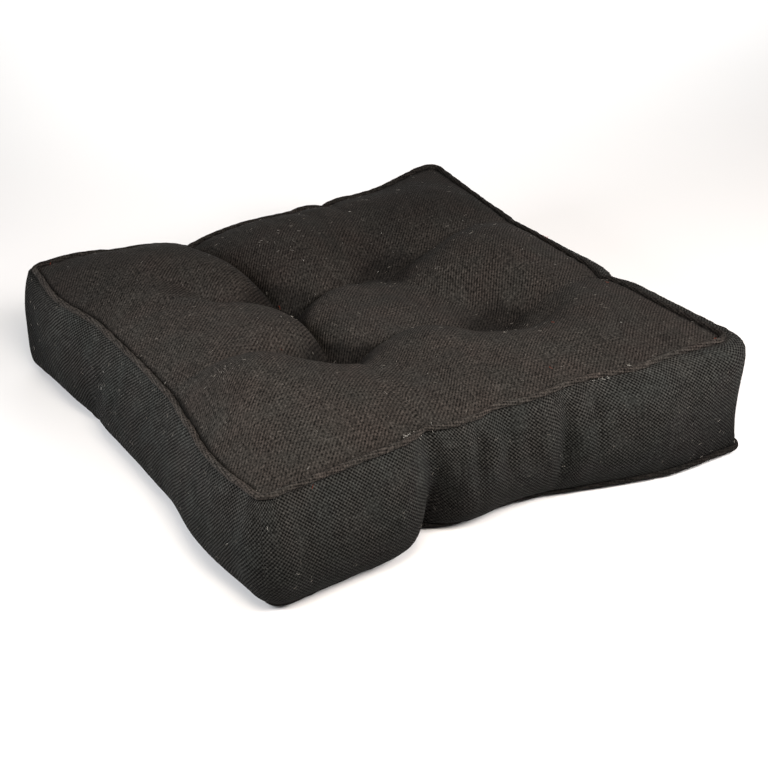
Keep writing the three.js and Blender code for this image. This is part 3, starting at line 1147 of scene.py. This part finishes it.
canvas = {
    "pitch": 1.57,              # of the yarns, in millimetres
    "raised": (0.0435, 0.036, 0.0315, 1),
    "greenish": (0.0385, 0.0355, 0.0315, 1),
    "sunk": (0.0015, 0.0014, 0.0013, 1),
    # a cooler tint of the boxing strip: partly its own colour and partly painted cool light that falls on
    # the walls
    "stripTint": (0.96, 1.09, 1.14, 1),
    "lint": (0.14, 0.135, 0.12, 1),
    "roughness": 0.95,
    "gloss": 0.06,
    "sheen": 0.006,
    "sheenRoughness": 0.6,
    "sheenTint": (0.8, 0.78, 0.75, 1),
    "relief": 0.0008,
    "fibreRelief": 0.3,
    "slack": 2.4,               # millimetres that a yarn strays
    "weftSlack": 0.7,           # the weft strays less
    "biasSlack": 0.5,
    "biasTurn": (0.82, 0.57),   # the cosine and sine of the turn of cloth cut on the bias
    "streakStretch": 0.06,      # how slowly a yarn's thickness changes along it
    "slub": (1.3, 0.3),         # contrast and least brightness of thick and thin yarns
    "blotch": (0.8, 0.4),       # least brightness and range of the large patches
    "wearSpread": (2.4, 0.8, 0.25),     # contrast, middle and least of the worn ribs' height
    "hueSpread": (3, 0.45),     # contrast and middle of the mix of the two yarn colours
    "dotSize": 9,               # a higher number makes the dots of lint smaller
    "dotScale": 0.3,
    "dotFibre": 0.55,           # dots show only where the fibres stand this high
    "panelWear": 0.45,
    "panelFuzz": 0.8,
    "panelRibs": 0.3,           # of the weaker ribs that still show on a panel
    # painted light: the weave's relief catching the light on the left and right walls
    "sideRibs": 0.7,            # what the left and right walls add to them
    # how strongly each attribute of painted shade darkens the colour
    "shadows": {"grooveShade": 0.9, "hollowShade": 0.6, "low": 0.72},
    "noises": {                 # repeats to the millimetre, detail and roughness
        "slack": (0.05, 2, 0.5),
        "wear": (0.06, 3, 0.5),
        "fibre": (0.55, 3, 0.6),
        "hue": (0.03, 3, 0.5),
        "blotch": (0.018, 3, 0.5),
    },
}

# What differs between the two cloths: the strength of the ribs one way and the other, how fuzzy they
# are, how light the cloth is, and the attributes of painted shade that darken it.
cloths = {
    "coverCanvas": {
        "ribs": (0.95, 0.7), "fuzz": 1.5, "lift": 1, "bias": False, "shadows": ("grooveShade", "hollowShade", "low"),
    },
    "pipingCanvas": {
        "ribs": (0.5, 0.35), "fuzz": 2.4, "lift": 1.15, "bias": True, "shadows": ("low",),
    },
}


def canvasNoise(shader, cloth, name):
    return shader.noise(cloth, *canvas["noises"][name])


# Where a point lies among the yarns, which stray a little.
def yarnPlace(shader, cloth, bias):
    parts = shader.node("ShaderNodeSeparateXYZ", {}, [cloth])
    x, y = parts.output("X"), parts.output("Y")
    stray = (canvasNoise(shader, cloth, "slack") - 0.5) * canvas["slack"]
    if not bias:
        return x + stray, y + stray * canvas["weftSlack"]
    cosine, sine = canvas["biasTurn"]
    slip = stray * canvas["biasSlack"]
    return x * cosine + y * sine + slip, x * sine - y * cosine + slip


# The weave's ribs, both ways: 1 on a raised crossing and 0 on a sunk one.
def weave(along, across, strong, weak):
    warp = along / canvas["pitch"] * math.pi
    weft = across / canvas["pitch"] * math.pi
    return 0.5 + (warp - weft).cosine() * (strong / 2) - (warp + weft).cosine() * (weak / 2)


# Thick and thin yarns, both ways.
def slubs(shader, along, across):
    stretch, pitch = canvas["streakStretch"], canvas["pitch"]
    warp = shader.node("ShaderNodeCombineXYZ", {}, [along / pitch, across * stretch, 0.0])
    weft = shader.node("ShaderNodeCombineXYZ", {}, [along * stretch, across / pitch, 4.0])
    contrast, least = canvas["slub"]
    streaks = shader.noise(warp, 1.0, 1) + shader.noise(weft, 1.0, 1)
    return (streaks * contrast - least).atLeast(least)


def canvasFinish(name):
    shader = Shader(name)
    look = cloths[name]
    cloth = shader.node("ShaderNodeUVMap", {"uv_map": "weave"}, {})
    along, across = yarnPlace(shader, cloth, look["bias"])
    strong, weak = look["ribs"]
    fuzz = look["fuzz"]
    worn = canvasNoise(shader, cloth, "wear").spread(*canvas["wearSpread"])
    hue = canvasNoise(shader, cloth, "hue").spread(*canvas["hueSpread"])
    yarn = shader.mix(hue, canvas["greenish"], canvas["raised"])
    if not look["bias"]:
        panel = shader.attribute("panel")
        weak = weak * (1 - panel * (1 - canvas["panelRibs"]))
        # Painted light: the weaker ribs show more strongly on the left and right walls.
        weak = weak + shader.attribute("aside") * (1 - panel) * canvas["sideRibs"]
        fuzz = fuzz + panel * canvas["panelFuzz"]
        worn = worn * (1 - panel * canvas["panelWear"])
        # The strip's cooler tint, partly painted cool light.
        yarn = shader.mix(panel, shader.mix(1.0, yarn, canvas["stripTint"], "MULTIPLY"), yarn)
    height = 0.5 + (weave(along, across, strong, weak) - 0.5) * worn
    fibre = canvasNoise(shader, cloth, "fibre")
    raised = (height + (fibre - 0.5) * fuzz).atLeast(0).atMost(1)
    color = shader.mix(raised, canvas["sunk"], yarn)
    least, span = canvas["blotch"]
    patches = least + span * canvasNoise(shader, cloth, "blotch")
    shade = patches * slubs(shader, along, across) * look["lift"]
    # Paints shade into the colour: each attribute of painted shade darkens it.
    for shadow in look["shadows"]:
        shade = shade * (1 - shader.attribute(shadow) * canvas["shadows"][shadow])
    gray = shader.node("ShaderNodeCombineColor", {}, [shade, shade, shade])
    color = shader.mix(1.0, color, gray, "MULTIPLY")
    scatter = {"Vector": cloth, "Scale": canvas["dotScale"], "Randomness": 1.0}
    fromDot = shader.node("ShaderNodeTexVoronoi", {}, scatter)
    dots = (1 - fromDot * canvas["dotSize"]).atLeast(0) * (fibre > canvas["dotFibre"])
    color = shader.mix(dots, color, canvas["lint"])
    relief = height + (fibre - 0.5) * canvas["fibreRelief"]
    bumps = {"Height": relief, "Distance": canvas["relief"], "Strength": 1.0}
    normal = shader.node("ShaderNodeBump", {}, bumps)
    return shader.finish({
        "Base Color": color,
        "Roughness": canvas["roughness"],
        "Specular IOR Level": canvas["gloss"],
        "Sheen Weight": canvas["sheen"],
        "Sheen Roughness": canvas["sheenRoughness"],
        "Sheen Tint": canvas["sheenTint"],
        "Normal": normal,
    })


plain = {
    "darkest": 0.97,            # the least brightness of its patches
    "patches": 3,               # repeats to the metre
    "gloss": 0.1,
}


def plainFinish(name, color, roughness):
    shader = Shader(name)
    place = shader.node("ShaderNodeTexCoord", {}, {}).output("Object")
    darkest = tuple(part * plain["darkest"] for part in color[:3]) + (1,)
    soft = shader.mix(shader.noise(place, plain["patches"], 2), color, darkest)
    return shader.finish({
        "Base Color": soft,
        "Roughness": roughness,
        "Specular IOR Level": plain["gloss"],
    })


# Part 9: the stage

stage = {
    "floorSize": 12,
    "floorColor": (0.78, 0.78, 0.78, 1),
    "floorRoughness": 0.9,
    "world": 0.06,              # strength of the even light from all round
}

lights = {
    "key": {
        "at": (0.5, -0.8, 0.7), "towards": (0, 0, 0.05),
        "size": 0.4, "power": 18.5, "color": (1, 0.95, 0.93),
    },
    "over": {
        "at": (-0.33, -0.56, 0.82), "towards": (0, 0, 0.05),
        "size": 0.4, "power": 7.3, "color": (1, 0.9, 0.79),
    },
    "left": {
        "at": (-0.68, -0.02, 0.38), "towards": (0, 0, 0.05),
        "size": 0.35, "power": 5.4, "color": (0.96, 0.97, 1),
    },
    "backdrop": {
        "at": (0.7, 1.2, 0.42), "towards": (0.7, 1.2, 0),
        "size": 1.5, "power": 12, "color": (1, 1, 1),
    },
}


def makeFloor():
    bm = bmesh.new()
    bmesh.ops.create_grid(bm, x_segments=4, y_segments=4, size=stage["floorSize"] / 2)
    floor = finished(bm, "floor")
    floor.data.materials.append(plainFinish("paleFloor", stage["floorColor"], stage["floorRoughness"]))


def makeLight(name):
    row = lights[name]
    lamp = bpy.data.lights.new(name, "AREA")
    lamp.size = row["size"]
    lamp.energy = row["power"]
    lamp.color = row["color"]
    light = bpy.data.objects.new(name, lamp)
    light.location = row["at"]
    aim = Vector(row["towards"]) - Vector(row["at"])
    light.rotation_euler = aim.to_track_quat("-Z", "Y").to_euler()
    bpy.context.collection.objects.link(light)


def makeWorld():
    world = bpy.data.worlds.new("studio")
    world.use_nodes = True
    background = world.node_tree.nodes["Background"]
    background.inputs["Color"].default_value = (1, 1, 1, 1)
    background.inputs["Strength"].default_value = stage["world"]
    bpy.context.scene.world = world


def makeCamera():
    azimuth, elevation = math.radians(view["azimuth"]), math.radians(view["elevation"])
    back = Vector((
        math.sin(azimuth) * math.cos(elevation),
        -math.cos(azimuth) * math.cos(elevation),
        math.sin(elevation),
    ))
    right = (-back).cross(up).normalized()
    above = right.cross(-back)
    roll = math.radians(view["roll"])
    rolledRight = right * math.cos(roll) + above * math.sin(roll)
    rolledUp = above * math.cos(roll) - right * math.sin(roll)
    lens = bpy.data.cameras.new("photoView")
    lens.sensor_width = 36
    lens.lens = view["focal"] * lens.sensor_width / view["frame"]
    camera = bpy.data.objects.new("photoView", lens)
    place = back * view["distance"] + rolledRight * view["aside"] + rolledUp * view["above"]
    place += Vector((*cushion["middle"], 0)) * mm
    turned = Matrix((rolledRight, rolledUp, back)).transposed().to_4x4()
    camera.matrix_world = Matrix.Translation(place) @ turned
    bpy.context.collection.objects.link(camera)
    bpy.context.scene.camera = camera


makeCamera()
makeWorld()
makeFloor()
for lightName in lights:
    makeLight(lightName)
bpy.context.scene.view_settings.view_transform = "Standard"
print("stage set")

cover = makeCover()
cover.data.materials.append(canvasFinish("coverCanvas"))
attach(cover, "root")
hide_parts("cushion_body")

for piece in makeLint(cover):
    fibre = plainFinish(piece.name + "Fibre", lint["colors"][piece.name], lint["roughness"])
    piece.data.materials.append(fibre)
    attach(piece, "root")

pipingCanvas = canvasFinish("pipingCanvas")
for seam, node in (("top", "piping_top"), ("bottom", "piping_bottom")):
    ring = makePiping(seam, "pipingRound" + seam.capitalize())
    ring.data.materials.append(pipingCanvas)
    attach(ring, "root")
    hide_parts(node)
